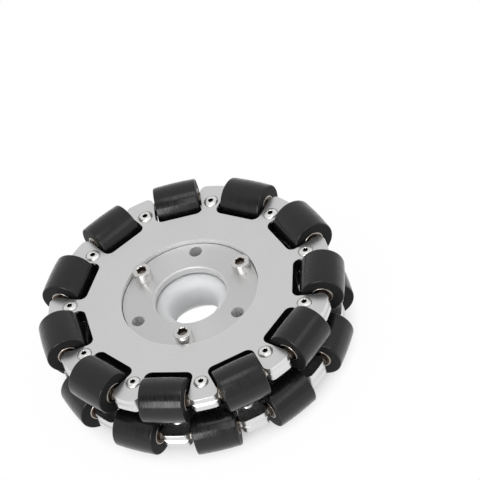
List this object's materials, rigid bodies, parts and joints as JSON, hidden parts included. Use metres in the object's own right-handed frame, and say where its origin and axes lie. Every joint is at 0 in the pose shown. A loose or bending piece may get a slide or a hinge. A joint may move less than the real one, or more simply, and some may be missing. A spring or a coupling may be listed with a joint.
{
  "type": "omni wheel",
  "caption": "Double-row aluminium omni wheel with crowned black rollers across its rim, an open central bore and a ring of hub bolt holes in a shallow round recess.",
  "frame": {"origin": "centre of the wheel, on its axis and midway between the two rows of rollers", "axes": "+Z along the wheel's axis, toward the heads of the hub screws; +X through the middle of the first upper roller"},
  "size_m": [0.127, 0.1276, 0.0386],
  "materials": {
    "plate_aluminium": "bead blasted and clear anodised, satin",
    "roller_rubber": "moulded charcoal rubber with fine turning marks",
    "bearing_steel": "ground bearing steel",
    "washer_steel": "plain steel washers",
    "pin_steel": "ground steel pins",
    "screw_steel": "stainless steel",
    "spacer_plastic": "turned white plastic"
  },
  "bodies": {
    "wheel": {"upper_outer_plate": "plate_aluminium", "upper_inner_plate": "plate_aluminium", "lower_inner_plate": "plate_aluminium", "lower_outer_plate": "plate_aluminium", "centre_spacer": "spacer_plastic", "hub_screws": "screw_steel", "hub_nuts": "screw_steel", "upper_rim_screws": "screw_steel", "upper_roller_pins": "pin_steel", "upper_inner_races": "bearing_steel", "upper_pin_washers": "washer_steel", "lower_rim_screws": "screw_steel", "lower_roller_pins": "pin_steel", "lower_inner_races": "bearing_steel", "lower_pin_washers": "washer_steel"},
    "upper_01": {"upper_roller_01": "roller_rubber", "upper_bearings_01": "bearing_steel"},
    "upper_02": {"upper_roller_02": "roller_rubber", "upper_bearings_02": "bearing_steel"},
    "upper_03": {"upper_roller_03": "roller_rubber", "upper_bearings_03": "bearing_steel"},
    "upper_04": {"upper_roller_04": "roller_rubber", "upper_bearings_04": "bearing_steel"},
    "upper_05": {"upper_roller_05": "roller_rubber", "upper_bearings_05": "bearing_steel"},
    "upper_06": {"upper_roller_06": "roller_rubber", "upper_bearings_06": "bearing_steel"},
    "upper_07": {"upper_roller_07": "roller_rubber", "upper_bearings_07": "bearing_steel"},
    "upper_08": {"upper_roller_08": "roller_rubber", "upper_bearings_08": "bearing_steel"},
    "upper_09": {"upper_roller_09": "roller_rubber", "upper_bearings_09": "bearing_steel"},
    "upper_10": {"upper_roller_10": "roller_rubber", "upper_bearings_10": "bearing_steel"},
    "upper_11": {"upper_roller_11": "roller_rubber", "upper_bearings_11": "bearing_steel"},
    "lower_01": {"lower_roller_01": "roller_rubber", "lower_bearings_01": "bearing_steel"},
    "lower_02": {"lower_roller_02": "roller_rubber", "lower_bearings_02": "bearing_steel"},
    "lower_03": {"lower_roller_03": "roller_rubber", "lower_bearings_03": "bearing_steel"},
    "lower_04": {"lower_roller_04": "roller_rubber", "lower_bearings_04": "bearing_steel"},
    "lower_05": {"lower_roller_05": "roller_rubber", "lower_bearings_05": "bearing_steel"},
    "lower_06": {"lower_roller_06": "roller_rubber", "lower_bearings_06": "bearing_steel"},
    "lower_07": {"lower_roller_07": "roller_rubber", "lower_bearings_07": "bearing_steel"},
    "lower_08": {"lower_roller_08": "roller_rubber", "lower_bearings_08": "bearing_steel"},
    "lower_09": {"lower_roller_09": "roller_rubber", "lower_bearings_09": "bearing_steel"},
    "lower_10": {"lower_roller_10": "roller_rubber", "lower_bearings_10": "bearing_steel"},
    "lower_11": {"lower_roller_11": "roller_rubber", "lower_bearings_11": "bearing_steel"}
  },
  "joints": [
    {"name": "upper_01_spin", "type": "hinge", "parent": "wheel", "child": "upper_01", "pos_m": [0.0544, 0, 0.0102], "axis": [0, 1, 0], "continuous": true},
    {"name": "upper_02_spin", "type": "hinge", "parent": "wheel", "child": "upper_02", "pos_m": [0.04576, 0.02941, 0.0102], "axis": [-0.5406, 0.8413, 0], "continuous": true},
    {"name": "upper_03_spin", "type": "hinge", "parent": "wheel", "child": "upper_03", "pos_m": [0.0226, 0.04948, 0.0102], "axis": [-0.9096, 0.4154, 0], "continuous": true},
    {"name": "upper_04_spin", "type": "hinge", "parent": "wheel", "child": "upper_04", "pos_m": [-0.00774, 0.05385, 0.0102], "axis": [-0.9898, -0.1423, 0], "continuous": true},
    {"name": "upper_05_spin", "type": "hinge", "parent": "wheel", "child": "upper_05", "pos_m": [-0.03562, 0.04111, 0.0102], "axis": [-0.7557, -0.6549, 0], "continuous": true},
    {"name": "upper_06_spin", "type": "hinge", "parent": "wheel", "child": "upper_06", "pos_m": [-0.0522, 0.01533, 0.0102], "axis": [-0.2817, -0.9595, 0], "continuous": true},
    {"name": "upper_07_spin", "type": "hinge", "parent": "wheel", "child": "upper_07", "pos_m": [-0.0522, -0.01533, 0.0102], "axis": [0.2817, -0.9595, 0], "continuous": true},
    {"name": "upper_08_spin", "type": "hinge", "parent": "wheel", "child": "upper_08", "pos_m": [-0.03562, -0.04111, 0.0102], "axis": [0.7557, -0.6549, 0], "continuous": true},
    {"name": "upper_09_spin", "type": "hinge", "parent": "wheel", "child": "upper_09", "pos_m": [-0.00774, -0.05385, 0.0102], "axis": [0.9898, -0.1423, 0], "continuous": true},
    {"name": "upper_10_spin", "type": "hinge", "parent": "wheel", "child": "upper_10", "pos_m": [0.0226, -0.04948, 0.0102], "axis": [0.9096, 0.4154, 0], "continuous": true},
    {"name": "upper_11_spin", "type": "hinge", "parent": "wheel", "child": "upper_11", "pos_m": [0.04576, -0.02941, 0.0102], "axis": [0.5406, 0.8413, 0], "continuous": true},
    {"name": "lower_01_spin", "type": "hinge", "parent": "wheel", "child": "lower_01", "pos_m": [-0.0544, 0, -0.0102], "axis": [0, -1, 0], "continuous": true},
    {"name": "lower_02_spin", "type": "hinge", "parent": "wheel", "child": "lower_02", "pos_m": [-0.04576, -0.02941, -0.0102], "axis": [0.5406, -0.8413, 0], "continuous": true},
    {"name": "lower_03_spin", "type": "hinge", "parent": "wheel", "child": "lower_03", "pos_m": [-0.0226, -0.04948, -0.0102], "axis": [0.9096, -0.4154, 0], "continuous": true},
    {"name": "lower_04_spin", "type": "hinge", "parent": "wheel", "child": "lower_04", "pos_m": [0.00774, -0.05385, -0.0102], "axis": [0.9898, 0.1423, 0], "continuous": true},
    {"name": "lower_05_spin", "type": "hinge", "parent": "wheel", "child": "lower_05", "pos_m": [0.03562, -0.04111, -0.0102], "axis": [0.7557, 0.6549, 0], "continuous": true},
    {"name": "lower_06_spin", "type": "hinge", "parent": "wheel", "child": "lower_06", "pos_m": [0.0522, -0.01533, -0.0102], "axis": [0.2817, 0.9595, 0], "continuous": true},
    {"name": "lower_07_spin", "type": "hinge", "parent": "wheel", "child": "lower_07", "pos_m": [0.0522, 0.01533, -0.0102], "axis": [-0.2817, 0.9595, 0], "continuous": true},
    {"name": "lower_08_spin", "type": "hinge", "parent": "wheel", "child": "lower_08", "pos_m": [0.03562, 0.04111, -0.0102], "axis": [-0.7557, 0.6549, 0], "continuous": true},
    {"name": "lower_09_spin", "type": "hinge", "parent": "wheel", "child": "lower_09", "pos_m": [0.00774, 0.05385, -0.0102], "axis": [-0.9898, 0.1423, 0], "continuous": true},
    {"name": "lower_10_spin", "type": "hinge", "parent": "wheel", "child": "lower_10", "pos_m": [-0.0226, 0.04948, -0.0102], "axis": [-0.9096, -0.4154, 0], "continuous": true},
    {"name": "lower_11_spin", "type": "hinge", "parent": "wheel", "child": "lower_11", "pos_m": [-0.04576, 0.02941, -0.0102], "axis": [-0.5406, -0.8413, 0], "continuous": true}
  ]
}
